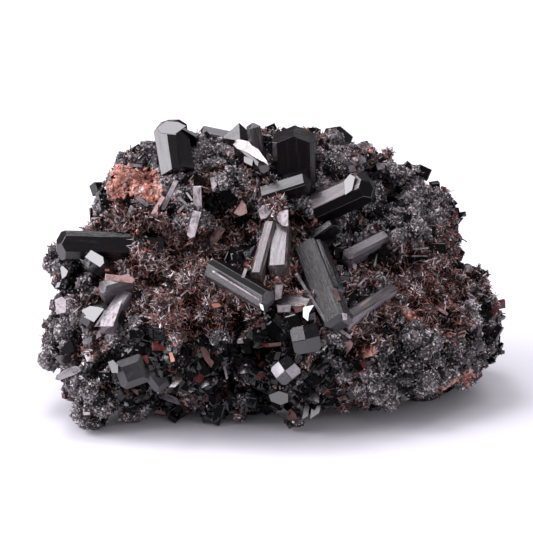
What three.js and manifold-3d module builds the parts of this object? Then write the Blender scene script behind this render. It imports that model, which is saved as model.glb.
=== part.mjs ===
// Manganvesuvianite specimen: black tetragonal prisms grown out of a lumpy, druse-coated matrix.
// Millimetres, +Z up. The show side faces -Y, and the specimen rests on its flat foot at z = 0.
import * as THREE from "three";
import { ConvexGeometry } from "three/addons/geometries/ConvexGeometry.js";
import { ImprovedNoise } from "three/addons/math/ImprovedNoise.js";
import { mergeVertices } from "three/addons/utils/BufferGeometryUtils.js";
import Module from "manifold-3d";

const wasm = await Module();
wasm.setup();

const SOCKET_GAP = 0.3; // between a crystal and the matrix that holds it
const FRONT = new THREE.Vector3(0, -1, 0);
const UP = new THREE.Vector3(0, 0, 1);

// The matrix is the outer envelope of these lumps as seen from its core: centre and half-axes of each.
const CORE = new THREE.Vector3(0, 2, 13);
const LUMPS = [
  { at: [0, 2, 12], half: [22, 15, 13] }, // heart
  { at: [-20.5, -3, 9.5], half: [9.5, 12, 9] }, // left bulge
  { at: [-17, 1, 17], half: [8.5, 11, 9] }, // left shoulder
  { at: [-13, 3, 24], half: [10.5, 9, 9] }, // left crown
  { at: [0, 4, 25], half: [14, 10, 9.5] }, // crown
  { at: [8, 8, 23], half: [9, 9, 9] }, // right crown
  { at: [16.4, 4.5, 17.7], half: [8.5, 10, 10.5] }, // right shoulder
  { at: [21, 0, 9], half: [10, 12, 8] }, // right bulge
  { at: [13, -7, 8.5], half: [11, 10.5, 8] }, // right front
  { at: [0, -6, 12], half: [16, 13, 11] }, // front belly
  { at: [-12, -7, 11], half: [11, 12, 10] }, // left front
  { at: [-22, -13.5, 4.5], half: [6, 5.5, 5] }, // left foot
  { at: [20, -1, 4.5], half: [7, 7, 5.5] }, // right foot
  { at: [0, 9, 14], half: [21, 12, 15] }, // back
  { at: [0, 1, 6], half: [19, 13, 7] }, // base
];
const LUMP_BLEND = 0.9;
const BODY_DETAIL = 8;
const ROUGHNESS = [
  { height: 2.2, length: 7 },
  { height: 1.6, length: 3.1 },
];

// Druse-coated knobs on the matrix: centre and radius.
const KNOB_DETAIL = 1;
const KNOB_ROUGHNESS = 0.3;
const KNOBS = [
  { at: [-16.4, 2.5, 31.8], radius: 2.1 },
  { at: [-5.3, -3.8, 29.6], radius: 2.5 },
  { at: [-6.4, -17.3, 14.4], radius: 2.5 },
  { at: [-24, -16.3, 6.5], radius: 2.7 },
  { at: [-23.4, -15.5, 2.7], radius: 3 },
  { at: [-3.9, -14.5, 2.7], radius: 1.9 },
  { at: [-8, -13.4, 2.1], radius: 1.8 },
  { at: [-13, -12.6, 2.3], radius: 2.1 },
  { at: [-28.2, -7.5, 6.8], radius: 2.3 },
  { at: [-28, -6, 11.7], radius: 2 },
  { at: [4.4, -5.6, 26.3], radius: 1.7 },
  { at: [-19.8, 0, 28.6], radius: 2.1 },
  { at: [17.8, -2.8, 22.5], radius: 3.1 },
  { at: [19, -12, 7.5], radius: 4.4 },
  { at: [9.7, -16, 8.5], radius: 2.1 },
  { at: [14.5, -13.5, 4.4], radius: 2.4 },
  { at: [27.6, 0, 10.5], radius: 3 },
  { at: [25.5, -7, 4.2], radius: 2.4 },
  { at: [-18, -13.4, 2.4], radius: 2.3 },
  { at: [-17, -15.2, 13.2], radius: 2 },
  { at: [-27.4, -3.4, 18.9], radius: 2.3 },
  { at: [-27.3, -4.5, 15.2], radius: 2.2 },
  { at: [14.6, 3, 29.1], radius: 2.1 },
  { at: [18, 4, 27.9], radius: 2.4 },
  { at: [19.8, 3.6, 25.2], radius: 2 },
  { at: [8.5, 9, 31.5], radius: 2.2 },
  { at: [3.5, 9, 31.9], radius: 2.1 },
  { at: [-25.4, -10.2, 15.6], radius: 1.5 },
  { at: [0.1, -6.2, 27], radius: 1.8 },
  { at: [-12, 18, 21], radius: 2.8 },
  { at: [16, 16, 21], radius: 3 },
  { at: [-2, 19.5, 14], radius: 3 },
];

// Hollows between the crystals of the show side: centre and radius.
const HOLLOWS = [
  { at: [-1.8, -18.4, 11.6], radius: 2.6 },
  { at: [-4.3, -11, 22.6], radius: 2 },
  { at: [-7.2, -6, 27.6], radius: 1.6 },
  { at: [3.8, -14, 19.8], radius: 1.9 },
];

// The habit of a crystal's end: pyramid faces over the prism's faces or over its edges, their slope from
// the basal plane in degrees, how much of the pyramid the basal face cuts away, and the bevel of the
// prism's long edges as a share of its half-diagonal.
const SHARP = { over: "edges", slope: 30, cut: 0, bevel: 0.12 };
const STEEP = { over: "faces", slope: 52, cut: 0, bevel: 0.05 };
const BLUNT = { over: "faces", slope: 37, cut: 0.55, bevel: 0.16 };
const GABLED = { over: "faces", slope: 37, cut: 0.12, bevel: 0.1 };
const DOMED = { over: "edges", slope: 37, cut: 0.3, bevel: 0.24 };
const PLAIN = { over: "faces", slope: 42, cut: 0, bevel: 0 };
const LOW = { over: "edges", slope: 30, cut: 0, bevel: 0 };

// The large crystals. Root and tip are the two ends of the long axis, across is the width and depth of
// the prism, and spin turns it about that axis, from having one prism face to the front (or upwards, on
// a crystal that points to the front or back). Prisms grown alongside are shifted sideways and start or
// stop short, and crossed ones share the solid but have an axis of their own.
const CRYSTALS = [
  {
    name: "tall_crystal",
    root: [3.1, -1.4, 27.6],
    tip: [2.9, -0.6, 36.6],
    across: [5.6, 5],
    spin: -6,
    end: SHARP,
  },
  {
    name: "top_left_crystal",
    root: [-12.4, -2, 30.5],
    tip: [-13.7, 2.6, 36.5],
    across: [3.2, 4],
    spin: 50,
    end: SHARP,
  },
  {
    name: "tucked_crystal",
    root: [-10.6, 3.4, 30.1],
    tip: [-12.1, 4, 34.9],
    across: [2.4, 2.4],
    spin: 28,
    end: BLUNT,
  },
  {
    name: "lying_crystal",
    root: [-4.8, 6.6, 32.6],
    tip: [-9.9, 6.9, 33.6],
    across: [1.6, 1.5],
    spin: 60,
    end: GABLED,
  },
  {
    name: "pointed_crystal",
    root: [-4.5, 3.6, 30.5],
    tip: [-4.4, 4, 35.7],
    across: [3.2, 3],
    spin: 50,
    end: STEEP,
  },
  {
    name: "leaning_crystal",
    root: [-1.2, -0.4, 28.6],
    tip: [-2.6, -0.3, 36.9],
    across: [1.6, 1.6],
    spin: 20,
    end: GABLED,
  },
  {
    name: "bright_crystal",
    root: [-4.5, 0, 33.2],
    tip: [-0.6, -5, 31],
    across: [3.4, 1.4],
    spin: 45,
    end: BLUNT,
  },
  {
    name: "crossbar_crystal",
    root: [-1.2, -5.2, 28.2],
    tip: [5.1, -5.7, 30.4],
    across: [2.3, 2.1],
    spin: 33,
    end: GABLED,
  },
  {
    name: "upper_right_crystal",
    root: [5.9, -4.9, 26.4],
    tip: [13.3, -7, 30.6],
    across: [3.9, 3.7],
    spin: 40,
    end: DOMED,
  },
  {
    name: "thin_edged_crystal",
    root: [4.9, -6.8, 22.4],
    tip: [8.8, -7, 25.2],
    across: [2.3, 1.2],
    spin: 34,
    end: GABLED,
  },
  {
    name: "right_block_crystal",
    root: [14.7, -3.4, 21.7],
    tip: [9.2, -8.2, 20.4],
    across: [1.8, 2.5],
    spin: 54,
    end: BLUNT,
  },
  {
    name: "centre_pair_crystals",
    root: [1.2, -7.5, 24.9],
    tip: [0.7, -15.4, 20.6],
    across: [2.4, 2.4],
    spin: 8,
    end: GABLED,
    crossed: [
      {
        root: [-0.2, -8.5, 25.1],
        tip: [-2.1, -16.1, 20],
        across: [1.6, 2.2],
        spin: 5,
        end: BLUNT,
      },
    ],
  },
  {
    name: "striated_crystal",
    root: [4.6, -9, 22.4],
    tip: [8.7, -19.5, 14.7],
    across: [3.3, 3.2],
    spin: 12,
    end: BLUNT,
    grown: [
      { shift: [1.1, 0.4], across: [1.8, 2.6], start: 3, stop: 0.8 },
      { shift: [-1, 0.7], across: [2, 2.4], start: 0, stop: 5 },
    ],
  },
  {
    name: "crossing_crystals",
    root: [-0.5, -14.5, 17.1],
    tip: [5.4, -17.6, 16.8],
    across: [2.2, 2],
    spin: 35,
    end: GABLED,
    grown: [{ shift: [0.8, 0.3], across: [1.5, 1.5], start: 0.3, stop: 1.2 }],
  },
  {
    name: "left_centre_crystal",
    root: [-7.8, -13.2, 21],
    tip: [0, -19.3, 18.2],
    across: [2.8, 2.6],
    spin: 2,
    end: DOMED,
  },
  {
    name: "lower_right_crystal",
    root: [15.5, -8.1, 15.9],
    tip: [9, -16.9, 14.7],
    across: [1.4, 2.8],
    spin: 56,
    end: GABLED,
  },
  {
    name: "long_left_crystal",
    root: [-14.4, -5.2, 21.2],
    tip: [-28.6, -7.1, 22.1],
    across: [3.8, 3.6],
    spin: 28,
    end: DOMED,
  },
  {
    name: "small_left_crystal",
    root: [-21.2, -8.8, 19.1],
    tip: [-24.2, -10.8, 21.6],
    across: [2, 1.9],
    spin: 72,
    end: BLUNT,
  },
  {
    name: "plate_crystals",
    root: [-18.3, -11.6, 18.2],
    tip: [-22.6, -13.1, 17.4],
    across: [3.1, 1.9],
    spin: -26,
    end: BLUNT,
    crossed: [
      {
        root: [-18.8, -12.5, 17.1],
        tip: [-21.7, -17, 13.5],
        across: [2, 1.9],
        spin: 44,
        end: GABLED,
      },
    ],
  },
  {
    name: "wedge_crystal",
    root: [-20.5, -11.4, 14.7],
    tip: [-24.9, -13.5, 13.8],
    across: [2.6, 2.4],
    spin: 61,
    end: SHARP,
  },
  {
    name: "dull_crystals",
    root: [-17.9, -12, 7.1],
    tip: [-17.9, -20, 9.2],
    across: [4.2, 3.8],
    spin: 20,
    end: BLUNT,
    crossed: [
      {
        root: [-15.4, -12, 6.5],
        tip: [-14.3, -19.6, 8.2],
        across: [3.2, 3],
        spin: 35,
        end: BLUNT,
      },
    ],
  },
  {
    name: "diamond_crystal",
    root: [2.9, -13, 7.3],
    tip: [1.5, -21.5, 10],
    across: [3.1, 2.9],
    spin: 42,
    end: SHARP,
  },
  {
    name: "grey_point_crystal",
    root: [4.2, -12, 11.7],
    tip: [4.2, -21.3, 14.1],
    across: [3.6, 3.6],
    spin: 12,
    end: SHARP,
  },
  {
    name: "back_tall_crystal",
    root: [2, 12, 22],
    tip: [3.5, 19.5, 30.5],
    across: [4.2, 4],
    spin: 15,
    end: SHARP,
  },
  {
    name: "back_long_crystal",
    root: [-5, 17, 17],
    tip: [-17.5, 16.5, 18.5],
    across: [3.2, 3],
    spin: 30,
    end: DOMED,
  },
  {
    name: "back_block_crystal",
    root: [8, 15.5, 15.5],
    tip: [16, 19, 14.5],
    across: [3.6, 3.4],
    spin: 40,
    end: BLUNT,
  },
  {
    name: "back_pair_crystals",
    root: [-1, 15.5, 12],
    tip: [3.5, 22.5, 9],
    across: [3, 2.8],
    spin: 10,
    end: GABLED,
    grown: [{ shift: [-2.2, 0.4], across: [2.2, 2.4], start: 2, stop: 1.2 }],
  },
  {
    name: "back_low_crystal",
    root: [-9, 14, 8],
    tip: [-10.5, 21.5, 9],
    across: [3.4, 3.2],
    spin: 35,
    end: SHARP,
  },
  {
    name: "back_corner_crystal",
    root: [13, 12, 9],
    tip: [20, 18, 8],
    across: [3.2, 3],
    spin: 20,
    end: SHARP,
  },
  {
    name: "back_top_crystal",
    root: [7, 9, 27],
    tip: [9.5, 14, 32.5],
    across: [3.4, 3.2],
    spin: 30,
    end: BLUNT,
  },
  {
    name: "back_crown_crystal",
    root: [-11, 7, 24],
    tip: [-15.5, 13.5, 28.5],
    across: [3, 2.8],
    spin: 40,
    end: BLUNT,
  },
  {
    name: "left_side_crystal",
    root: [-20, 4, 15],
    tip: [-27, 9, 18],
    across: [3.2, 3],
    spin: 25,
    end: GABLED,
  },
  {
    name: "right_side_crystal",
    root: [21, 5, 12],
    tip: [28, 9.5, 12.5],
    across: [3.4, 3.2],
    spin: 40,
    end: SHARP,
  },
  {
    name: "back_foot_crystal",
    root: [5, 14, 4.5],
    tip: [6, 21, 3.5],
    across: [2.6, 2.4],
    spin: 45,
    end: GABLED,
  },
];

// Small crystals fused to the matrix where the show side has them: the same measures as above.
const SMALL_CRYSTALS = [
  { root: [-3.2, -13, 8], tip: [-3.3, -19.6, 9.1], across: [2.2, 2.1], spin: 20, end: PLAIN },
  { root: [-7.4, -13, 6.4], tip: [-8.1, -19, 7.3], across: [2.3, 2], spin: 35, end: PLAIN },
  { root: [-6, -12, 5], tip: [-6.6, -17, 4.4], across: [2.6, 2.4], spin: 10, end: PLAIN },
  { root: [-11.6, -14, 8], tip: [-12, -19.5, 8.2], across: [2.6, 2.2], spin: 40, end: LOW },
  { root: [-9, -12, 5.5], tip: [-9.4, -17.5, 4.5], across: [2.6, 2.4], spin: 25, end: PLAIN },
  { root: [1.6, -12, 6], tip: [1.4, -18, 4.7], across: [2.8, 2.4], spin: 45, end: LOW },
  { root: [4, -12, 6.5], tip: [4.6, -19, 3], across: [2.8, 2.6], spin: 15, end: PLAIN },
  { root: [2.4, -13, 6], tip: [3, -18.5, 1.2], across: [1.9, 1.8], spin: 45, end: PLAIN },
  { root: [-23.2, -6.4, 20.2], tip: [-25.4, -9.4, 14.6], across: [1.6, 1.5], spin: 20, end: LOW },
  { root: [-24, -3, 19.5], tip: [-28, -5.5, 17.5], across: [2.4, 2.2], spin: 40, end: PLAIN },
  { root: [-25.8, -5.5, 15.8], tip: [-28.2, -9.6, 10.6], across: [2.2, 2], spin: 30, end: LOW },
  { root: [-22.5, -14.5, 8.2], tip: [-27.8, -15.4, 7], across: [2, 1.9], spin: 45, end: PLAIN },
  { root: [-10.4, -7, 22.5], tip: [-10, -5.6, 27.8], across: [1.6, 1.5], spin: 30, end: PLAIN },
  { root: [0.8, -5.6, 25], tip: [1.3, -8.6, 27.2], across: [1.5, 1.4], spin: 20, end: PLAIN },
];

// Smaller crystals still, scattered over the back: the turn runs from the right round to the left.
const SCATTER = {
  count: 20,
  turn: [15, 165],
  width: [1.4, 2.6],
  emerge: [0.6, 1.8],
  lean: 0.8,
  seed: 11,
};

const noise = new ImprovedNoise();

function solidOf(geometry) {
  const bare = new THREE.BufferGeometry().setAttribute("position", geometry.getAttribute("position"));
  bare.setIndex(geometry.index);
  const merged = mergeVertices(bare, 1e-4);
  return new wasm.Manifold(
    new wasm.Mesh({
      numProp: 3,
      vertProperties: merged.attributes.position.array,
      triVerts: new Uint32Array(merged.index.array),
    }),
  );
}

function geometryOf(solid) {
  const mesh = solid.getMesh();
  return new THREE.BufferGeometry()
    .setAttribute("position", new THREE.BufferAttribute(mesh.vertProperties, 3))
    .setIndex(new THREE.BufferAttribute(mesh.triVerts, 1));
}

// Seeded random numbers from 0 to 1.
function randomFrom(seed) {
  let state = seed;
  return () => {
    state = (state * 16807) % 2147483647;
    return state / 2147483647;
  };
}

const between = ([low, high], share) => low + (high - low) * share;

// Corners of the convex body bounded by planes, each a unit normal and its distance from the origin.
function cornersOf(planes) {
  const corners = [];
  const normals = new THREE.Matrix3();
  for (let i = 0; i < planes.length; i++) {
    for (let j = i + 1; j < planes.length; j++) {
      for (let k = j + 1; k < planes.length; k++) {
        const [a, b, c] = [planes[i], planes[j], planes[k]];
        normals.set(...a.normal, ...b.normal, ...c.normal);
        if (Math.abs(normals.determinant()) < 1e-6) continue;
        const distances = new THREE.Vector3(a.distance, b.distance, c.distance);
        const corner = distances.applyMatrix3(normals.invert());
        const inside = planes.every((p) => corner.dot(p.normal) <= p.distance + 1e-6);
        const known = corners.some((other) => other.distanceTo(corner) < 1e-3);
        if (inside && !known) corners.push(corner);
      }
    }
  }
  return corners;
}

// One tetragonal prism along +Z from start to stop, its pyramid at the top, grown by margin all round.
function prismGeometry({ across, end, shift = [0, 0], start = 0, stop }, margin = 0) {
  const [halfWidth, halfDepth] = across.map((size) => size / 2);
  const diagonal = Math.SQRT1_2;
  const edge = (halfWidth + halfDepth) * diagonal * (1 - end.bevel);
  const slope = THREE.MathUtils.degToRad(end.slope);
  const planes = [
    { normal: new THREE.Vector3(0, 0, -1), distance: -start },
    { normal: new THREE.Vector3(1, 0, 0), distance: halfWidth },
    { normal: new THREE.Vector3(-1, 0, 0), distance: halfWidth },
    { normal: new THREE.Vector3(0, 1, 0), distance: halfDepth },
    { normal: new THREE.Vector3(0, -1, 0), distance: halfDepth },
  ];
  for (let quarter = 0; quarter < 4; quarter++) {
    const turn = (quarter * Math.PI) / 2;
    const cornerWay = [Math.cos(turn + Math.PI / 4), Math.sin(turn + Math.PI / 4)];
    const pyramidWay = end.over === "edges" ? cornerWay : [Math.cos(turn), Math.sin(turn)];
    planes.push({ normal: new THREE.Vector3(...cornerWay, 0), distance: edge });
    const [outX, outY] = pyramidWay.map((way) => way * Math.sin(slope));
    const pyramidNormal = new THREE.Vector3(outX, outY, Math.cos(slope));
    planes.push({ normal: pyramidNormal, distance: stop * Math.cos(slope) });
  }
  const pyramid = Math.min(halfWidth, halfDepth) * Math.tan(slope);
  planes.push({ normal: new THREE.Vector3(0, 0, 1), distance: stop - pyramid * end.cut });
  for (const plane of planes) plane.distance += margin;
  return new ConvexGeometry(cornersOf(planes)).translate(shift[0], shift[1], 0);
}

// A crystal with the prisms grown on it, as one geometry along its own +Z.
function crystalGeometry(crystal, margin = 0) {
  const length = new THREE.Vector3(...crystal.tip).distanceTo(new THREE.Vector3(...crystal.root));
  let solid = solidOf(prismGeometry({ ...crystal, stop: length }, margin));
  for (const grown of crystal.grown ?? []) {
    const prism = { end: crystal.end, ...grown, stop: length - grown.stop };
    solid = solid.add(solidOf(prismGeometry(prism, margin)));
  }
  const toOwnFrame = placeCrystal(new THREE.Object3D(), crystal).matrix.invert();
  for (const crossed of crystal.crossed ?? []) {
    const placed = placeCrystal(new THREE.Mesh(crystalGeometry(crossed, margin)), crossed);
    solid = solid.add(solidOf(placed.geometry.applyMatrix4(toOwnFrame.clone().multiply(placed.matrix))));
  }
  return geometryOf(solid);
}

// Puts an object with its +Z from root to tip, and its -Y side to the front before the spin.
function placeCrystal(object, crystal) {
  const root = new THREE.Vector3(...crystal.root);
  const axis = new THREE.Vector3(...crystal.tip).sub(root).normalize();
  const ahead = Math.abs(axis.y) < 0.8 ? FRONT : UP;
  const depth = ahead.clone().addScaledVector(axis, -ahead.dot(axis)).normalize().negate();
  const width = new THREE.Vector3().crossVectors(depth, axis);
  object.quaternion.setFromRotationMatrix(new THREE.Matrix4().makeBasis(width, depth, axis));
  object.rotateZ(THREE.MathUtils.degToRad(crystal.spin));
  object.position.copy(root);
  object.updateMatrix();
  return object;
}

function placedSolid(crystal, margin = 0) {
  const mesh = placeCrystal(new THREE.Mesh(crystalGeometry(crystal, margin)), crystal);
  return solidOf(mesh.geometry.applyMatrix4(mesh.matrix));
}

// The hollow a crystal sits in: the crystal with plain edges and a gap all round.
function socketSolid(crystal) {
  const plain = ({ crossed = [], ...rest }) => ({
    ...rest,
    end: { ...rest.end, cut: 0, bevel: 0 },
    crossed: crossed.map(plain),
  });
  return placedSolid(plain(crystal), SOCKET_GAP);
}

// How far a ray from the core runs before it leaves a lump for good, or 0 if it misses it.
function reachOf(lump, direction) {
  const half = new THREE.Vector3(...lump.half);
  const start = CORE.clone().sub(new THREE.Vector3(...lump.at)).divide(half);
  const step = direction.clone().divide(half);
  const a = step.dot(step);
  const b = start.dot(step);
  const inside = b * b - a * (start.dot(start) - 1);
  return inside < 0 ? 0 : (Math.sqrt(inside) - b) / a;
}

// The point of the matrix's surface that lies in a direction from its core.
function surfaceAlong(direction) {
  let sum = 0;
  for (const lump of LUMPS) sum += Math.exp(reachOf(lump, direction) / LUMP_BLEND);
  const point = CORE.clone().addScaledVector(direction, LUMP_BLEND * Math.log(sum));
  let rough = 0;
  for (const { height, length } of ROUGHNESS) {
    rough += height * noise.noise(point.x / length, point.y / length, point.z / length);
  }
  return point.addScaledVector(direction, rough);
}

function bodySolid() {
  const body = new THREE.IcosahedronGeometry(1, BODY_DETAIL);
  const places = body.attributes.position;
  for (let i = 0; i < places.count; i++) {
    const point = surfaceAlong(new THREE.Vector3().fromBufferAttribute(places, i).normalize());
    places.setXYZ(i, ...point);
  }
  return solidOf(body);
}

function knobSolid({ at, radius }) {
  const knob = new THREE.IcosahedronGeometry(radius, KNOB_DETAIL).translate(...at);
  const places = knob.attributes.position;
  const centre = new THREE.Vector3(...at);
  for (let i = 0; i < places.count; i++) {
    const point = new THREE.Vector3().fromBufferAttribute(places, i);
    const rough = 1 + KNOB_ROUGHNESS * noise.noise(point.x, point.y, point.z);
    places.setXYZ(i, ...point.sub(centre).multiplyScalar(rough).add(centre));
  }
  return solidOf(knob);
}

// Small crystals at random places of the back, each leaning away from straight out.
function scatteredCrystals() {
  const random = randomFrom(SCATTER.seed);
  return Array.from({ length: SCATTER.count }, () => {
    const height = between([-0.35, 0.7], random());
    const turn = THREE.MathUtils.degToRad(between(SCATTER.turn, random()));
    const ring = Math.sqrt(1 - height * height);
    const out = new THREE.Vector3(ring * Math.cos(turn), ring * Math.sin(turn), height);
    const surface = surfaceAlong(out);
    const sway = new THREE.Vector3(random() - 0.5, random() - 0.5, random() - 0.5);
    const axis = out.clone().addScaledVector(sway, 2 * SCATTER.lean).normalize();
    const width = between(SCATTER.width, random());
    return {
      root: surface.clone().addScaledVector(axis, -width).toArray(),
      tip: surface.clone().addScaledVector(axis, between(SCATTER.emerge, random())).toArray(),
      across: [width, width * between([0.75, 1], random())],
      spin: 90 * random(),
      end: random() < 0.5 ? PLAIN : LOW,
    };
  });
}

function matrixSolid() {
  let solid = bodySolid();
  for (const knob of KNOBS) solid = solid.add(knobSolid(knob));
  for (const hollow of HOLLOWS) solid = solid.subtract(knobSolid(hollow));
  for (const crystal of SMALL_CRYSTALS) solid = solid.add(placedSolid(crystal));
  for (const crystal of scatteredCrystals()) solid = solid.add(placedSolid(crystal));
  for (const crystal of CRYSTALS) solid = solid.subtract(socketSolid(crystal));
  const ground = new THREE.BoxGeometry(200, 200, 40).translate(0, 0, -20);
  solid = solid.subtract(solidOf(ground));
  const [largest] = solid.decompose().sort((a, b) => b.volume() - a.volume());
  return largest;
}

const specimen = new THREE.Group();

const matrix = new THREE.Mesh(
  geometryOf(matrixSolid()),
  new THREE.MeshStandardMaterial({ color: 0x3a2e2c, roughness: 0.65, metalness: 0 }),
);
matrix.name = "matrix";
specimen.add(matrix);

for (const crystal of CRYSTALS) {
  const mesh = new THREE.Mesh(
    crystalGeometry(crystal),
    new THREE.MeshStandardMaterial({ color: 0x0d0b0d, roughness: 0.15, metalness: 0 }),
  );
  mesh.name = crystal.name;
  specimen.add(placeCrystal(mesh, crystal));
}

// The origin goes to the middle of the specimen's footprint, at floor level.
const extent = new THREE.Box3().setFromObject(specimen, true);
const middle = extent.getCenter(new THREE.Vector3());
specimen.position.set(-middle.x, -middle.y, -extent.min.z);

export default specimen;
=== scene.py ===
"""Manganvesuvianite specimen: glossy black prisms on a matrix coated with needles and grains."""
import math

import bmesh
import bpy
import numpy as np
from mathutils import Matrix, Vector, noise
from mathutils.bvhtree import BVHTree


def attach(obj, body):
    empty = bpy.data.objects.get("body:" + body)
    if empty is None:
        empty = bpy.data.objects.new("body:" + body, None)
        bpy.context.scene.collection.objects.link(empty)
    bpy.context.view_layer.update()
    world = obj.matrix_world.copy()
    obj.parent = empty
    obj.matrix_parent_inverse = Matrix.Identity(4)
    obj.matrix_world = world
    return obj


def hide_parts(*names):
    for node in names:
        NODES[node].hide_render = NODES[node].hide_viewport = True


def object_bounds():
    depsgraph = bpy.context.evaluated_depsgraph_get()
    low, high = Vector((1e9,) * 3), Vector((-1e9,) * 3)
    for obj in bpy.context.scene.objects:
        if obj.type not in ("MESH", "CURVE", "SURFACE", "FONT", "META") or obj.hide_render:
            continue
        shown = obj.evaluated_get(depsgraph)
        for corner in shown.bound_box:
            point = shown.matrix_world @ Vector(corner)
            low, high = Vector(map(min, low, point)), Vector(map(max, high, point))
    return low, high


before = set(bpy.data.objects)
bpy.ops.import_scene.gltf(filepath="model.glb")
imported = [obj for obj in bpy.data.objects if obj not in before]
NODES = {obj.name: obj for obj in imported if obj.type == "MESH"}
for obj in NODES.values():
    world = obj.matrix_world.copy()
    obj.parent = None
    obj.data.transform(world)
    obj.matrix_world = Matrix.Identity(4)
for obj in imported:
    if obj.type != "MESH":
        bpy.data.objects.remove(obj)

MM = 0.001
CAD_BOX = [list(corner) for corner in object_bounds()]
SHIFT = np.array([0.014, -0.573, 0.0])  # mm, from the table's origin to the frame's
random = np.random.default_rng(7)
ROOM_SHINE, ROOM_GLOW = 0.14, 0.55  # what the crystals mirror and what lights the shades
FLOOR_COLOUR = (0.78, 0.78, 0.82)


def place(point):
    """A point of the specimen's own table, in mm, as a point of the frame, in metres."""
    return (np.asarray(point, float) + SHIFT) * MM


# Camera, light and floor


def unit(vector):
    vector = np.asarray(vector, float)
    return vector / np.linalg.norm(vector, axis=-1, keepdims=True)


RISE = math.radians(18)
AHEAD = np.array([0, math.cos(RISE), -math.sin(RISE)])
ABOVE = np.array([0, math.sin(RISE), math.cos(RISE)])
EYE = place((-0.78, 0, 16.93)) - AHEAD * 0.38
PIXELS = 2850.0  # the distance in pixels at which the picture plane lies


def sight(across, down):
    """The direction from the camera through a point of the picture, in its pixels."""
    side = np.array([1.0, 0, 0])
    return unit(AHEAD * PIXELS + side * (across - 266.5) + ABOVE * (266.5 - down))


def make_camera():
    camera = bpy.data.objects.new("camera", bpy.data.cameras.new("camera"))
    bpy.context.scene.collection.objects.link(camera)
    camera.data.sensor_width = 36
    camera.data.lens = 192.5
    ahead = Vector(AHEAD)
    camera.location = EYE
    camera.rotation_mode = "QUATERNION"
    camera.rotation_quaternion = ahead.to_track_quat("-Z", "Y")
    camera.data.clip_start = 0.01
    bpy.context.scene.camera = camera


def softbox(name, location, size, radiance, colour=(0.97, 0.935, 1.0)):
    """A rectangular light that faces the specimen, as bright as a surface of that radiance."""
    data = bpy.data.lights.new(name, "AREA")
    data.shape = "RECTANGLE"
    data.size, data.size_y = size
    data.energy = radiance * math.pi * size[0] * size[1]
    data.color = colour
    lamp = bpy.data.objects.new(name, data)
    bpy.context.scene.collection.objects.link(lamp)
    lamp.location = location
    lamp.rotation_mode = "QUATERNION"
    lamp.rotation_quaternion = (Vector((0, 0, 0.02)) - Vector(location)).to_track_quat("-Z", "Y")
    return lamp


def stepped(tree, value, low, high, start, end):
    """A value's rise from start to end while it goes from low to high."""
    node = tree.nodes.new("ShaderNodeMapRange")
    node.interpolation_type = "SMOOTHSTEP"
    node.inputs["From Min"].default_value = low
    node.inputs["From Max"].default_value = high
    node.inputs["To Min"].default_value = start
    node.inputs["To Max"].default_value = end
    tree.links.new(value, node.inputs["Value"])
    return node.outputs[0]


def combined(tree, operation, first, second):
    node = tree.nodes.new("ShaderNodeMath")
    node.operation = operation
    for socket, value in zip(node.inputs, (first, second)):
        if isinstance(value, (int, float)):
            socket.default_value = value
        else:
            tree.links.new(value, socket)
    return node.outputs[0]


def make_room():
    """Pale all round to the eye, dim in reflections, and a soft glow in the shades."""
    world = bpy.data.worlds.new("room")
    bpy.context.scene.world = world
    world.use_nodes = True
    tree = world.node_tree
    tree.nodes.clear()
    out = tree.nodes.new("ShaderNodeOutputWorld")
    path = tree.nodes.new("ShaderNodeLightPath")
    shades = []
    for colour, strength in (
        ((0.97, 0.94, 1.0, 1), ROOM_GLOW),
        ((0.97, 0.94, 1.0, 1), ROOM_SHINE),
        ((0.97, 0.97, 1.0, 1), 1.05),
    ):
        shade = tree.nodes.new("ShaderNodeBackground")
        shade.inputs["Color"].default_value = colour
        shade.inputs["Strength"].default_value = strength
        shades.append(shade)
    shiny = tree.nodes.new("ShaderNodeMixShader")
    tree.links.new(path.outputs["Is Glossy Ray"], shiny.inputs["Fac"])
    tree.links.new(shades[0].outputs[0], shiny.inputs[1])
    tree.links.new(shades[1].outputs[0], shiny.inputs[2])
    mix = tree.nodes.new("ShaderNodeMixShader")
    tree.links.new(path.outputs["Is Camera Ray"], mix.inputs["Fac"])
    tree.links.new(shiny.outputs[0], mix.inputs[1])
    tree.links.new(shades[2].outputs[0], mix.inputs[2])
    tree.links.new(mix.outputs[0], out.inputs["Surface"])


def make_floor():
    """A pale floor whose far front, out of view, doesn't shine back at the crystals."""
    size = 2.5
    mesh = bpy.data.meshes.new("floor")
    corners = [(-size, -size, 0), (size, -size, 0), (size, size, 0), (-size, size, 0)]
    mesh.from_pydata(corners, [], [(0, 1, 2, 3)])
    floor = bpy.data.objects.new("floor", mesh)
    bpy.context.scene.collection.objects.link(floor)
    material, shader = new_material("floor", FLOOR_COLOUR, 0.6)
    shader.inputs["Specular IOR Level"].default_value = 0.2
    tree = material.node_tree
    dim = tree.nodes.new("ShaderNodeBsdfDiffuse")
    dim.inputs["Color"].default_value = (0.03, 0.03, 0.03, 1)
    mix = tree.nodes.new("ShaderNodeMixShader")
    path = tree.nodes.new("ShaderNodeLightPath")
    where = tree.nodes.new("ShaderNodeNewGeometry")
    split = tree.nodes.new("ShaderNodeSeparateXYZ")
    tree.links.new(where.outputs["Position"], split.inputs[0])
    front = stepped(tree, split.outputs["Y"], -0.04, -0.07, 0.0, 1.0)
    tree.links.new(combined(tree, "MULTIPLY", path.outputs["Is Glossy Ray"], front), mix.inputs["Fac"])
    tree.links.new(shader.outputs[0], mix.inputs[1])
    tree.links.new(dim.outputs[0], mix.inputs[2])
    tree.links.new(mix.outputs[0], tree.nodes["Material Output"].inputs["Surface"])
    mesh.materials.append(material)


# Materials


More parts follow.
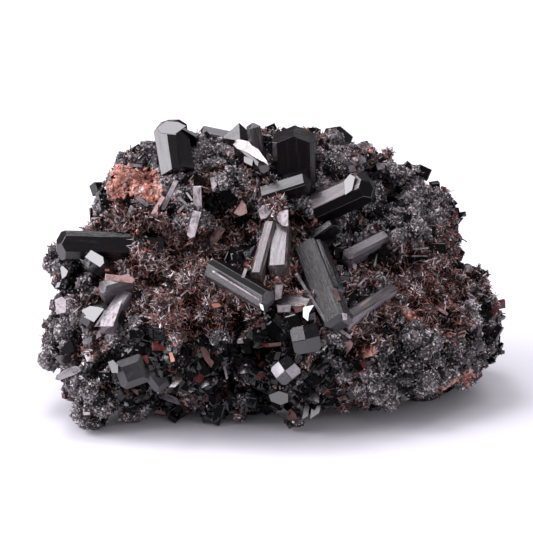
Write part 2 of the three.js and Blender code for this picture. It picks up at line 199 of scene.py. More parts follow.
def new_material(name, colour, roughness, ior=1.5):
    material = bpy.data.materials.new(name)
    material.use_nodes = True
    shader = material.node_tree.nodes["Principled BSDF"]
    shader.inputs["Base Color"].default_value = (*colour, 1)
    shader.inputs["Roughness"].default_value = roughness
    shader.inputs["IOR"].default_value = ior
    return material, shader


def add(material, kind, **inputs):
    node = material.node_tree.nodes.new(kind)
    for key, value in inputs.items():
        node.inputs[key.replace("_", " ")].default_value = value
    return node


def link(material, source, target):
    material.node_tree.links.new(source, target)


def attribute(material, name):
    node = material.node_tree.nodes.new("ShaderNodeAttribute")
    node.attribute_name = name
    return node


def ramp(material, stops):
    node = material.node_tree.nodes.new("ShaderNodeValToRGB")
    elements = node.color_ramp.elements
    while len(elements) < len(stops):
        elements.new(0.5)
    for element, (at, colour) in zip(elements, stops):
        element.position = at
        element.color = (*colour, 1)
    return node


def crystal_material(name, dark, streak, streak_share, roughness, groove):
    """Glassy prism: lengthwise grooves and streaks in the crystal's own coordinates (grain, in mm)."""
    material, shader = new_material(name, dark, roughness, 1.74)
    grain = attribute(material, "grain")
    stretch = add(material, "ShaderNodeMapping", Scale=(9, 9, 0.12))
    link(material, grain.outputs["Vector"], stretch.inputs["Vector"])
    lines = add(material, "ShaderNodeTexNoise", Scale=1.0, Detail=4.0, Roughness=0.6)
    link(material, stretch.outputs[0], lines.inputs["Vector"])
    soft = add(material, "ShaderNodeMapping", Scale=(1.6, 1.6, 0.22))
    link(material, grain.outputs["Vector"], soft.inputs["Vector"])
    patches = add(material, "ShaderNodeTexNoise", Scale=1.0, Detail=3.0, Roughness=0.6)
    link(material, soft.outputs[0], patches.inputs["Vector"])
    bump = add(material, "ShaderNodeBump", Strength=groove, Distance=0.00006 * (1 + 2 * groove**4))
    link(material, lines.outputs["Fac"], bump.inputs["Height"])
    fine = add(material, "ShaderNodeTexNoise", Scale=3.0, Detail=5.0, Roughness=0.65)
    link(material, grain.outputs["Vector"], fine.inputs["Vector"])
    pits = add(material, "ShaderNodeBump", Strength=0.12, Distance=0.00004)
    link(material, fine.outputs["Fac"], pits.inputs["Height"])
    link(material, bump.outputs[0], pits.inputs["Normal"])
    link(material, pits.outputs[0], shader.inputs["Normal"])
    blend = add(material, "ShaderNodeMath")
    blend.operation = "MULTIPLY"
    link(material, lines.outputs["Fac"], blend.inputs[0])
    link(material, patches.outputs["Fac"], blend.inputs[1])
    low = 0.36 - 0.2 * streak_share
    tint = ramp(material, [(0.0, dark), (low, dark), (low + 0.09, streak), (1.0, streak)])
    link(material, blend.outputs[0], tint.inputs["Fac"])
    link(material, tint.outputs["Color"], shader.inputs["Base Color"])
    rough = add(material, "ShaderNodeMapRange")
    rough.inputs["From Min"].default_value = 0.35
    rough.inputs["From Max"].default_value = 0.7
    rough.inputs["To Min"].default_value = roughness
    rough.inputs["To Max"].default_value = roughness + 0.22
    link(material, patches.outputs["Fac"], rough.inputs["Value"])
    link(material, rough.outputs[0], shader.inputs["Roughness"])
    return material


def druse_material(name, stops, roughness, ior=1.6):
    """Small crystals whose colour goes by the tint that each grain carries; the tints hold painted shade,
    darker in the rock's creases.
    """
    material, shader = new_material(name, stops[0][1], roughness, ior)
    tint = attribute(material, "tint")
    colours = ramp(material, stops)
    link(material, tint.outputs["Fac"], colours.inputs["Fac"])
    where = material.node_tree.nodes.new("ShaderNodeTexCoord")
    dust = add(material, "ShaderNodeTexNoise", Scale=2600.0, Detail=3.0)
    link(material, where.outputs["Object"], dust.inputs["Vector"])
    shade = add(material, "ShaderNodeMapRange")
    shade.inputs["From Min"].default_value = 0.3
    shade.inputs["From Max"].default_value = 0.7
    shade.inputs["To Min"].default_value = 0.55
    shade.inputs["To Max"].default_value = 1.35
    link(material, dust.outputs["Fac"], shade.inputs["Value"])
    mixed = material.node_tree.nodes.new("ShaderNodeVectorMath")
    mixed.operation = "MULTIPLY"
    link(material, colours.outputs["Color"], mixed.inputs[0])
    link(material, shade.outputs[0], mixed.inputs[1])
    link(material, mixed.outputs[0], shader.inputs["Base Color"])
    bump = add(material, "ShaderNodeBump", Strength=0.3, Distance=0.00004)
    link(material, dust.outputs["Fac"], bump.inputs["Height"])
    link(material, bump.outputs[0], shader.inputs["Normal"])
    return material


def shard_material(name, deep, colour, roughness):
    """A small crystal, cloudy and cracked: patches of a deeper colour, fine streaks and an uneven face."""
    material, shader = new_material(name, colour, roughness, 1.6)
    where = material.node_tree.nodes.new("ShaderNodeTexCoord")
    clouds = add(material, "ShaderNodeTexNoise", Scale=620.0, Detail=6.0, Roughness=0.72, Distortion=0.8)
    link(material, where.outputs["Object"], clouds.inputs["Vector"])
    half = tuple(0.55 * c for c in colour)
    tint = ramp(material, [(0.34, deep), (0.45, half), (0.56, colour), (0.68, deep)])
    link(material, clouds.outputs["Fac"], tint.inputs["Fac"])
    link(material, tint.outputs["Color"], shader.inputs["Base Color"])
    bump = add(material, "ShaderNodeBump", Strength=0.5, Distance=0.00012)
    link(material, clouds.outputs["Fac"], bump.inputs["Height"])
    link(material, bump.outputs[0], shader.inputs["Normal"])
    return material


def rock_material():
    """Granular rock: its tone with painted shade, darker in the hollows and paler on rises, broken up cell by
    cell and dark in the joints.
    """
    material, shader = new_material("matrix_rock", (0.1, 0.09, 0.09), 0.45, 1.6)
    tone_and_shade = attribute(material, "tone_and_shade")
    where = material.node_tree.nodes.new("ShaderNodeTexCoord")
    cells = add(material, "ShaderNodeTexVoronoi", Scale=2600.0, Randomness=1.0)
    link(material, where.outputs["Object"], cells.inputs["Vector"])
    split = material.node_tree.nodes.new("ShaderNodeSeparateColor")
    link(material, cells.outputs["Color"], split.inputs[0])
    grain = add(material, "ShaderNodeMapRange")
    grain.inputs["To Min"].default_value = 0.15
    grain.inputs["To Max"].default_value = 1.9
    link(material, split.outputs[0], grain.inputs["Value"])
    joint = add(material, "ShaderNodeMapRange")
    joint.inputs["From Min"].default_value = 0.25
    joint.inputs["From Max"].default_value = 0.75
    joint.inputs["To Min"].default_value = 1.0
    joint.inputs["To Max"].default_value = 0.15
    link(material, cells.outputs["Distance"], joint.inputs["Value"])
    both = add(material, "ShaderNodeMath")
    both.operation = "MULTIPLY"
    link(material, grain.outputs[0], both.inputs[0])
    link(material, joint.outputs[0], both.inputs[1])
    mixed = material.node_tree.nodes.new("ShaderNodeVectorMath")
    mixed.operation = "MULTIPLY"
    link(material, tone_and_shade.outputs["Color"], mixed.inputs[0])
    link(material, both.outputs[0], mixed.inputs[1])
    link(material, mixed.outputs[0], shader.inputs["Base Color"])
    bump = add(material, "ShaderNodeBump", Strength=0.8, Distance=0.00015)
    bump.invert = True
    link(material, cells.outputs["Distance"], bump.inputs["Height"])
    link(material, bump.outputs[0], shader.inputs["Normal"])
    split_tone = material.node_tree.nodes.new("ShaderNodeSeparateColor")
    link(material, tone_and_shade.outputs["Color"], split_tone.inputs[0])
    for low, high, target in ((0.12, 0.5, shader.inputs["Roughness"]), (0.05, 0.8, bump.inputs["Strength"])):
        glassy = add(material, "ShaderNodeMapRange")
        glassy.inputs["From Min"].default_value = 0.012
        glassy.inputs["From Max"].default_value = 0.05
        glassy.inputs["To Min"].default_value = low
        glassy.inputs["To Max"].default_value = high
        link(material, split_tone.outputs[0], glassy.inputs["Value"])
        link(material, glassy.outputs[0], target)
    return material


# Meshes


def new_piece(name, vertices, faces, material, tint=None):
    mesh = bpy.data.meshes.new(name)
    mesh.from_pydata(vertices, [], faces)
    mesh.materials.append(material)
    if tint is not None:
        values = mesh.attributes.new("tint", "FLOAT", "POINT")
        values.data.foreach_set("value", np.asarray(tint, np.float32))
    piece = bpy.data.objects.new(name, mesh)
    bpy.context.scene.collection.objects.link(piece)
    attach(piece, "root")
    return piece


def arrays_of(mesh):
    """Corners, triangles and their normals of a mesh as arrays."""
    mesh.calc_loop_triangles()
    points = np.empty(len(mesh.vertices) * 3)
    mesh.vertices.foreach_get("co", points)
    corners = np.empty(len(mesh.loop_triangles) * 3, np.int32)
    mesh.loop_triangles.foreach_get("vertices", corners)
    points, corners = points.reshape(-1, 3), corners.reshape(-1, 3)
    a, b, c = points[corners[:, 0]], points[corners[:, 1]], points[corners[:, 2]]
    cross = np.cross(b - a, c - a)
    return points, corners, cross


def scatter_on(mesh, count):
    """Random points on a mesh, thicker on its front and top: place, outward normal and relief."""
    points, corners, cross = arrays_of(mesh)
    areas = np.linalg.norm(cross, axis=1)
    towards = cross @ unit((0.0, -0.8, 0.6)) / np.maximum(areas, 1e-12)
    share = areas * np.where(towards > 0, 1.0, 0.45)
    chosen = random.choice(len(corners), size=count, p=share / share.sum())
    u, v = random.random(count), random.random(count)
    over = u + v > 1
    u[over], v[over] = 1 - u[over], 1 - v[over]
    a, b, c = (points[corners[chosen, i]] for i in range(3))
    at = a + (b - a) * u[:, None] + (c - a) * v[:, None]
    relief = np.empty(len(points), np.float32)
    mesh.attributes["relief"].data.foreach_get("value", relief)
    return at, cross[chosen] / np.maximum(areas[chosen, None], 1e-12), relief[corners[chosen, 0]]


def frames_along(axes):
    """For each direction, two more at right angles to it and turned at random: arrays of 3x3 matrices."""
    helper = np.where(np.abs(axes[:, 2:3]) < 0.9, np.array([[0, 0, 1.0]]), np.array([[1.0, 0, 0]]))
    side = unit(np.cross(helper, axes))
    other = np.cross(axes, side)
    turn = random.random(len(axes)) * math.tau
    cos, sin = np.cos(turn)[:, None], np.sin(turn)[:, None]
    return np.stack([side * cos + other * sin, other * cos - side * sin, axes], axis=2)


# The shapes that the druse is made of, one unit long and wide: their corners, and their faces.
NEEDLE = (
    np.array(
        [(1, 0, 0), (-0.5, 0.87, 0), (-0.5, -0.87, 0), (0.8, 0, 1), (-0.4, 0.7, 0.9), (-0.4, -0.7, 0.82)]
    )
    * (0.5, 0.5, 1),
    [(0, 2, 1), (3, 4, 5), (0, 1, 4), (0, 4, 3), (1, 2, 5), (1, 5, 4), (2, 0, 3), (2, 3, 5)],
)
GRAIN = (
    np.array([(1, 0.1, 0.42), (-0.1, 1, 0.55), (-1, -0.1, 0.45), (0.1, -1, 0.5), (0, 0, 1), (0, 0, 0)])
    * (0.5, 0.5, 1),
    [(0, 1, 4), (1, 2, 4), (2, 3, 4), (3, 0, 4), (1, 0, 5), (2, 1, 5), (3, 2, 5), (0, 3, 5)],
)
PRISM = (
    np.array(
        [
            (1, 0, 0), (0, 1, 0), (-1, 0, 0), (0, -1, 0),
            (1, 0, 0.78), (0, 1, 0.78), (-1, 0, 0.78), (0, -1, 0.78), (0.05, 0, 1),
        ]
    )
    * (0.5, 0.5, 1),
    [
        (3, 2, 1, 0), (0, 1, 5, 4), (1, 2, 6, 5), (2, 3, 7, 6), (3, 0, 4, 7),
        (4, 5, 8), (5, 6, 8), (6, 7, 8), (7, 4, 8),
    ],
)

SPLINTER = (
    np.array([(1, 0, 0), (-0.5, 0.87, 0), (-0.5, -0.87, 0), (0.3, 0, 1)]) * (0.5, 0.5, 1),
    [(0, 2, 1), (0, 1, 3), (1, 2, 3), (2, 0, 3)],
)
BLOCK = (
    np.array(
        [
            (1, 1, 0), (-1, 1, 0), (-1, -1, 0), (1, -1, 0),
            (1, 0.9, 0.9), (-0.9, 1, 0.93), (-1, -0.8, 0.9), (0.85, -1, 0.87),
            (0.85, 0.77, 1), (-0.77, 0.87, 1.03), (-0.86, -0.68, 1), (0.72, -0.86, 0.97),
        ]
    )
    * (0.5, 0.5, 1),
    [
        (0, 1, 5, 4), (1, 2, 6, 5), (2, 3, 7, 6), (3, 0, 4, 7),
        (4, 5, 9, 8), (5, 6, 10, 9), (6, 7, 11, 10), (7, 4, 8, 11), (8, 9, 10, 11),
    ],
)


def copies(template, at, frames, widths, depths, lengths, tints):
    """One mesh's worth of copies of a template, each along its own axis."""
    corners, faces = template
    sizes = np.stack([widths, depths, lengths], axis=1)
    local = corners[None] * sizes[:, None]
    placed = np.einsum("nij,nkj->nki", frames, local) + at[:, None]
    count = len(corners)
    numbers = (np.arange(len(at)) * count)[:, None]
    all_faces = []
    for face in faces:
        all_faces.append(numbers + np.array(face)[None])
    flat = [tuple(row) for group in all_faces for row in group.tolist()]
    return placed.reshape(-1, 3), flat, np.repeat(tints, count)


# Large crystals


# The crystals that aren't glossy black.
LOOKS = {
    "striated_crystal": "striated",
    "crossing_crystals": "banded",
    "long_left_crystal": "dim",
    "centre_pair_crystals": "pale",
    "upper_right_crystal": "pale",
    "thin_edged_crystal": "dim",
    "lower_right_crystal": "light",
    "right_block_crystal": "light",
    "left_centre_crystal": "grey",
    "lying_crystal": "light",
    "tucked_crystal": "grey",
    "leaning_crystal": "grey",
    "plate_crystals": "light",
    "dull_crystals": "dull",
}
# Facets that differ from the rest of their crystal: the way that each one faces, and its look.
# Each look is painted light: the paler facets are painted reflections of the lamps and the floor, the darkest
# ones painted shade, darker and less shiny than the black crystal.
FACETS = {
    "diamond_crystal": [
        ((-0.7, -0.6, 0.35), "painted_highlight"), ((0.6, -0.75, 0.25), "bright"), ((-0.1, -0.8, -0.6), "grey"),
    ],
    "left_centre_crystal": [((-0.18, -0.59, 0.79), "painted_shade_facet"), ((0.32, -0.03, 0.95), "painted_shade_facet")],
    "upper_right_crystal": [
        ((0.16, -0.74, -0.65), "painted_shade_facet"), ((-0.25, -0.97, -0.04), "painted_shade_facet"), ((0.52, -0.77, 0.36), "painted_shade_facet"),
        ((0.96, -0.24, -0.14), "painted_shade_facet"),
    ],
    "lower_right_crystal": [
        ((0.75, -0.5, -0.43), "bright"), ((0.29, -0.34, 0.9), "pale"), ((0.74, -0.59, 0.33), "pale"),
    ],
}
# The crystals whose ends are clear and black while their sides aren't.
CLEAR_ENDS = ["upper_right_crystal", "striated_crystal", "long_left_crystal", "lying_crystal"]


def prism_axes(mesh):
    """The one or two long directions of a crystal's mesh, from its longest edges."""
    points = np.array([v.co for v in mesh.vertices])
    ends = np.array([e.vertices for e in mesh.edges])
    spans = points[ends[:, 1]] - points[ends[:, 0]]
    lengths = np.linalg.norm(spans, axis=1)
    order = np.argsort(-lengths)
    axes = []
    for i in order[:14]:
        way = spans[i] / lengths[i]
        if all(abs(way @ axis) < 0.93 for axis in axes) and lengths[i] > 0.55 * lengths[order[0]]:
            axes.append(way)
    return axes[:2]


def own_frame(axis):
    helper = np.array([0, 0, 1.0]) if abs(axis[2]) < 0.8 else np.array([0, 1.0, 0])
    side = unit(np.cross(helper, axis))
    return np.stack([side, np.cross(axis, side), axis])


def build_crystal(name, materials):
    """The crystal's solid with its edges bevelled, and its own coordinates kept for the grooves."""
    mesh = NODES[name].data.copy()
    mesh.name = name.replace("_crystal", "_prism")
    edit = bmesh.new()
    edit.from_mesh(mesh)
    bmesh.ops.remove_doubles(edit, verts=edit.verts, dist=2e-6)
    bmesh.ops.dissolve_limit(edit, angle_limit=math.radians(1.5), verts=edit.verts, edges=edit.edges)
    edit.to_mesh(mesh)
    axes = prism_axes(mesh)
    sharp = [e for e in edit.edges if len(e.link_faces) == 2 and e.calc_face_angle(0) > math.radians(12)]
    bmesh.ops.bevel(edit, geom=sharp, offset=0.05 * MM, segments=1, affect="EDGES", clamp_overlap=True)
    edit.to_mesh(mesh)
    edit.free()
    mesh.materials.clear()
    mesh.materials.append(materials[LOOKS.get(name, "glossy")])
    mesh.materials.append(materials["glossy"])
    for _, look in FACETS.get(name, ()):
        mesh.materials.append(materials[look])
    grain = mesh.attributes.new("grain", "FLOAT_VECTOR", "CORNER")
    values = np.zeros((len(mesh.loops), 3), np.float32)
    turns = [own_frame(axis) for axis in axes]
    nearness = 0.86 if name == "diamond_crystal" else 0.98
    for face in mesh.polygons:
        normal = np.array(face.normal)
        lean = [abs(normal @ axis) for axis in axes]
        turn = turns[int(np.argmin(lean))]
        if name in CLEAR_ENDS and min(lean) > 0.35:
            face.material_index = 1
        # Facets turned one of the listed ways take their painted reflection or painted shade.
        for number, (way, _) in enumerate(FACETS.get(name, ())):
            if normal @ unit(way) > nearness:
                face.material_index = 2 + number
        for loop in face.loop_indices:
            values[loop] = turn @ np.array(mesh.vertices[mesh.loops[loop].vertex_index].co) / MM
    grain.data.foreach_set("vector", values.ravel())
    piece = bpy.data.objects.new(mesh.name, mesh)
    bpy.context.scene.collection.objects.link(piece)
    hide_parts(name)
    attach(piece, "root")
    return piece


# Matrix


# What grows on the show side: a spot of the picture, its radius in pixels, and the kind.
ZONES = [
    (150, 250, 34, "felt"), (200, 258, 32, "felt"), (185, 300, 42, "felt"), (232, 315, 26, "felt"),
    (122, 218, 24, "felt"), (146, 222, 20, "felt"), (140, 262, 16, "felt"), (235, 225, 20, "felt"),
    (430, 285, 36, "felt"), (402, 262, 22, "felt"), (458, 330, 24, "felt"), (362, 272, 16, "felt"),
    (372, 332, 22, "felt"), (402, 292, 18, "felt"), (272, 210, 16, "felt"), (425, 315, 20, "felt"),
    (138, 180, 20, "salmon"), (122, 172, 15, "salmon"), (152, 190, 11, "salmon"), (120, 190, 12, "salmon"),
    (280, 124, 12, "salmon"), (412, 316, 8, "salmon"), (368, 350, 9, "salmon"), (450, 384, 10, "salmon"),
    (470, 378, 8, "salmon"),
    (145, 150, 20, "grey"), (228, 175, 24, "grey"), (205, 150, 24, "grey"), (190, 160, 16, "grey"),
    (170, 180, 12, "grey"), (405, 215, 34, "grey"), (385, 172, 26, "grey"), (430, 200, 26, "grey"),
    (350, 140, 22, "grey"), (335, 160, 18, "grey"), (425, 360, 44, "grey"), (385, 370, 24, "grey"),
    (345, 372, 15, "grey"), (418, 335, 18, "grey"), (85, 390, 24, "grey"), (88, 416, 26, "grey"),
    (47, 346, 14, "grey"), (50, 368, 13, "grey"), (240, 403, 12, "grey"), (300, 208, 14, "grey"),
    (222, 332, 20, "grey"), (60, 318, 24, "grey"), (82, 285, 15, "grey"), (52, 262, 14, "grey"),
    (105, 412, 14, "grey"), (75, 335, 16, "grey"), (200, 212, 16, "grey"), (460, 355, 22, "grey"),
    (150, 387, 9, "grey"), (115, 335, 14, "grey"), (372, 392, 16, "grey"), (475, 310, 16, "grey"),
    (150, 360, 28, "black"), (200, 372, 30, "black"), (268, 345, 34, "black"), (270, 388, 28, "black"),
    (120, 352, 12, "black"), (238, 252, 14, "black"), (322, 238, 14, "black"), (342, 256, 12, "black"),
    (382, 256, 12, "black"), (262, 300, 12, "black"), (98, 400, 8, "black"), (390, 300, 12, "black"),
    (352, 366, 11, "black"), (448, 318, 12, "black"), (183, 172, 9, "black"), (222, 203, 14, "black"),
    (130, 397, 16, "black"), (165, 402, 16, "black"), (190, 410, 16, "black"), (216, 412, 13, "black"),
    (258, 408, 14, "black"), (285, 412, 15, "black"), (312, 405, 17, "black"), (338, 398, 14, "black"),
    (320, 372, 14, "black"), (128, 200, 8, "black"), (265, 140, 8, "black"),
]
KINDS = ["felt", "salmon", "grey", "black"]
ROCK_TONES = np.array([(0.085, 0.044, 0.042), (0.5, 0.2, 0.15), (0.2, 0.17, 0.18), (0.006, 0.005, 0.006)])

# Dark hollows of the show side: a spot of the picture, its radius in pixels, and its depth in mm.
HOLLOWS = [
    (238, 252, 15, 3.0), (222, 203, 13, 2.6), (265, 345, 20, 2.2), (262, 372, 16, 1.8), (322, 240, 14, 2.0),
    (183, 172, 8, 2.0), (345, 258, 9, 2.0), (390, 258, 11, 1.8), (128, 202, 7, 1.5), (108, 392, 11, 1.6),
    (352, 368, 11, 2.0), (448, 318, 12, 2.0), (418, 345, 6, 1.2), (178, 262, 7, 1.6), (163, 245, 6, 1.4),
    (195, 262, 6, 1.4), (218, 242, 7, 1.5), (148, 345, 10, 1.6), (190, 345, 8, 1.4), (298, 285, 9, 1.6),
    (205, 345, 7, 1.2), (470, 342, 7, 1.2), (60, 348, 6, 1.4), (95, 402, 5, 1.4), (265, 142, 7, 1.6),
    (172, 212, 7, 1.4), (150, 232, 6, 1.2), (393, 322, 8, 1.5), (290, 232, 6, 1.5), (380, 215, 8, 1.5),
]


def spots(tree, table):
    """The matrix's points at the picture's spots, in mm, and how many mm a pixel spans there."""
    found = []
    for across, down, *_ in table:
        way = sight(across, down)
        hit = tree.ray_cast(Vector(EYE), Vector(way))[0]
        if hit is None:
            hit = tree.find_nearest(Vector(EYE + way * 0.378))[0]
        found.append(np.array(hit) / MM)
    found = np.array(found)
    return found, np.linalg.norm(found - EYE / MM, axis=1) / PIXELS


def surface_tree(mesh):
    points, corners, _ = arrays_of(mesh)
    return BVHTree.FromPolygons(points.tolist(), corners.tolist())


def kind_weights(points, zones, centres, spans):
    """The share of each kind of druse at points in mm: by the zones near, with a patchy mix elsewhere."""
    weights = np.full((len(points), len(KINDS)), 0.01)
    patch = np.array([noise.noise(Vector(p / 8)) for p in points])
    weights[:, 0] += 0.1 * np.clip(patch * 6 + 0.4, 0, 1)
    weights[:, 2] += 0.12 * np.clip(-patch * 6 + 0.6, 0, 1)
    weights[:, 3] += 0.02
    for (_, _, radius, kind), centre, span in zip(zones, centres, spans):
        far = np.linalg.norm(points - centre, axis=1) / (radius * span)
        weights[:, KINDS.index(kind)] += 2.0 * np.exp(-((far / 0.85) ** 4))
    weights = (weights / weights.sum(axis=1, keepdims=True)) ** 1.7
    return weights / weights.sum(axis=1, keepdims=True)


def crag(point):
    """Height in mm of the matrix's broken surface over its mean, at a point in mm."""
    swell = noise.fractal(point / 5.0, 0.9, 2.1, 3)
    near, next_near = noise.voronoi(point / 2.6)[0][:2]
    fine = noise.voronoi(point / 1.15)[0][0]
    caves = noise.noise(point / 3.0 + Vector((7, 3, 1)))
    cave = min(max((caves - 0.14) / 0.2, 0), 1)
    crease = min((next_near - near) / 0.22, 1)
    hollow = 2.2 * cave * cave * (3 - 2 * cave)
    return 0.8 * swell + 1.3 * (0.5 - near) - 0.7 * (1 - crease) + 0.5 * (0.45 - fine) - hollow


def crystals_tree(*more):
    """A tree of all large crystals, and of other meshes."""
    points, faces = [], []
    for mesh in [NODES[name].data for name in sorted(NODES) if name != "matrix"] + list(more):
        own_points, corners, _ = arrays_of(mesh)
        faces.extend((corners + len(points)).tolist())
        points.extend(own_points.tolist())
    return BVHTree.FromPolygons(points, faces)


def build_matrix(material, crystals):
    mesh = NODES["matrix"].data.copy()
    mesh.name = "matrix_rock"
    rock = bpy.data.objects.new("matrix_rock", mesh)
    bpy.context.scene.collection.objects.link(rock)
    edit = bmesh.new()
    edit.from_mesh(mesh)
    bmesh.ops.remove_doubles(edit, verts=edit.verts, dist=2e-6)
    edit.to_mesh(mesh)
    edit.free()
    tree = surface_tree(mesh)
    remesh = rock.modifiers.new("remesh", "REMESH")
    remesh.mode = "VOXEL"
    remesh.voxel_size = 0.376 * MM
    graph = bpy.context.evaluated_depsgraph_get()
    fine = bpy.data.meshes.new_from_object(rock.evaluated_get(graph))
    rock.modifiers.clear()
    rock.data = fine
    fine.name = "matrix_rock"
    count = len(fine.vertices)
    points, normals = np.empty(count * 3), np.empty(count * 3)
    fine.vertices.foreach_get("co", points)
    fine.vertex_normals.foreach_get("vector", normals)
    points, normals = points.reshape(-1, 3), normals.reshape(-1, 3)
    heights = np.array([crag(Vector(p)) for p in points / MM])
    centres, spans = spots(tree, HOLLOWS)
    for (_, _, radius, depth), centre, span in zip(HOLLOWS, centres, spans):
        far = np.linalg.norm(points / MM - centre, axis=1) / (radius * span)
        heights -= depth * np.clip(1.25 - far, 0, 1) ** 0.7 * (far < 1.25)
    zone_centres, zone_spans = spots(tree, ZONES)
    weights = kind_weights(points / MM, ZONES, zone_centres, zone_spans)
    smooth = 1 - 0.75 * weights[:, KINDS.index("black")] - 0.4 * weights[:, KINDS.index("salmon")]
    relief = np.clip(heights, -3.4, 1.2) * smooth
    gaps = np.array([crystals.find_nearest(Vector(p), 2 * MM)[3] or 2 * MM for p in points]) / MM
    root = np.exp(-((gaps / 0.75) ** 2))
    relief = relief * (1 - root) + 0.35 * root
    low = np.clip(points[:, 2] / MM / 1.5, 0, 1)
    points = points + normals * (relief * low + 0.1)[:, None] * MM
    points[:, 2] = np.maximum(points[:, 2], 0.0)
    fine.vertices.foreach_set("co", points.ravel())
    fine.update()
    # Painted shade: the rock darker where its relief sinks, paler where it rises.
    shade = np.clip(0.75 + 0.5 * relief, 0.12, 1.25)
    shaded_colours = np.ones((count, 4), np.float32)
    shaded_colours[:, :3] = (weights @ ROCK_TONES) * shade[:, None]
    colours = fine.attributes.new("tone_and_shade", "FLOAT_COLOR", "POINT")
    colours.data.foreach_set("color", shaded_colours.ravel())
    heights_kept = fine.attributes.new("relief", "FLOAT", "POINT")
    heights_kept.data.foreach_set("value", relief.astype(np.float32))
    fine.materials.clear()
    fine.materials.append(material)
    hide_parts("matrix")
    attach(rock, "root")
    return rock, zone_centres, zone_spans


# Small crystals whose faces show


# How a face is turned, by what it mirrors of the light.
TURNS = {
    "hot": (-0.13, -0.45, 0.88),
    "top": (-0.335, -0.536, 0.777),
    "left": (-0.575, -0.671, 0.466),
    "high": (0.313, -0.488, 0.815),
    "fill": (0.42, -0.84, 0.34),
    "dark": (0.05, -0.93, 0.36),
    "even": (-0.2, -0.8, 0.57),
}

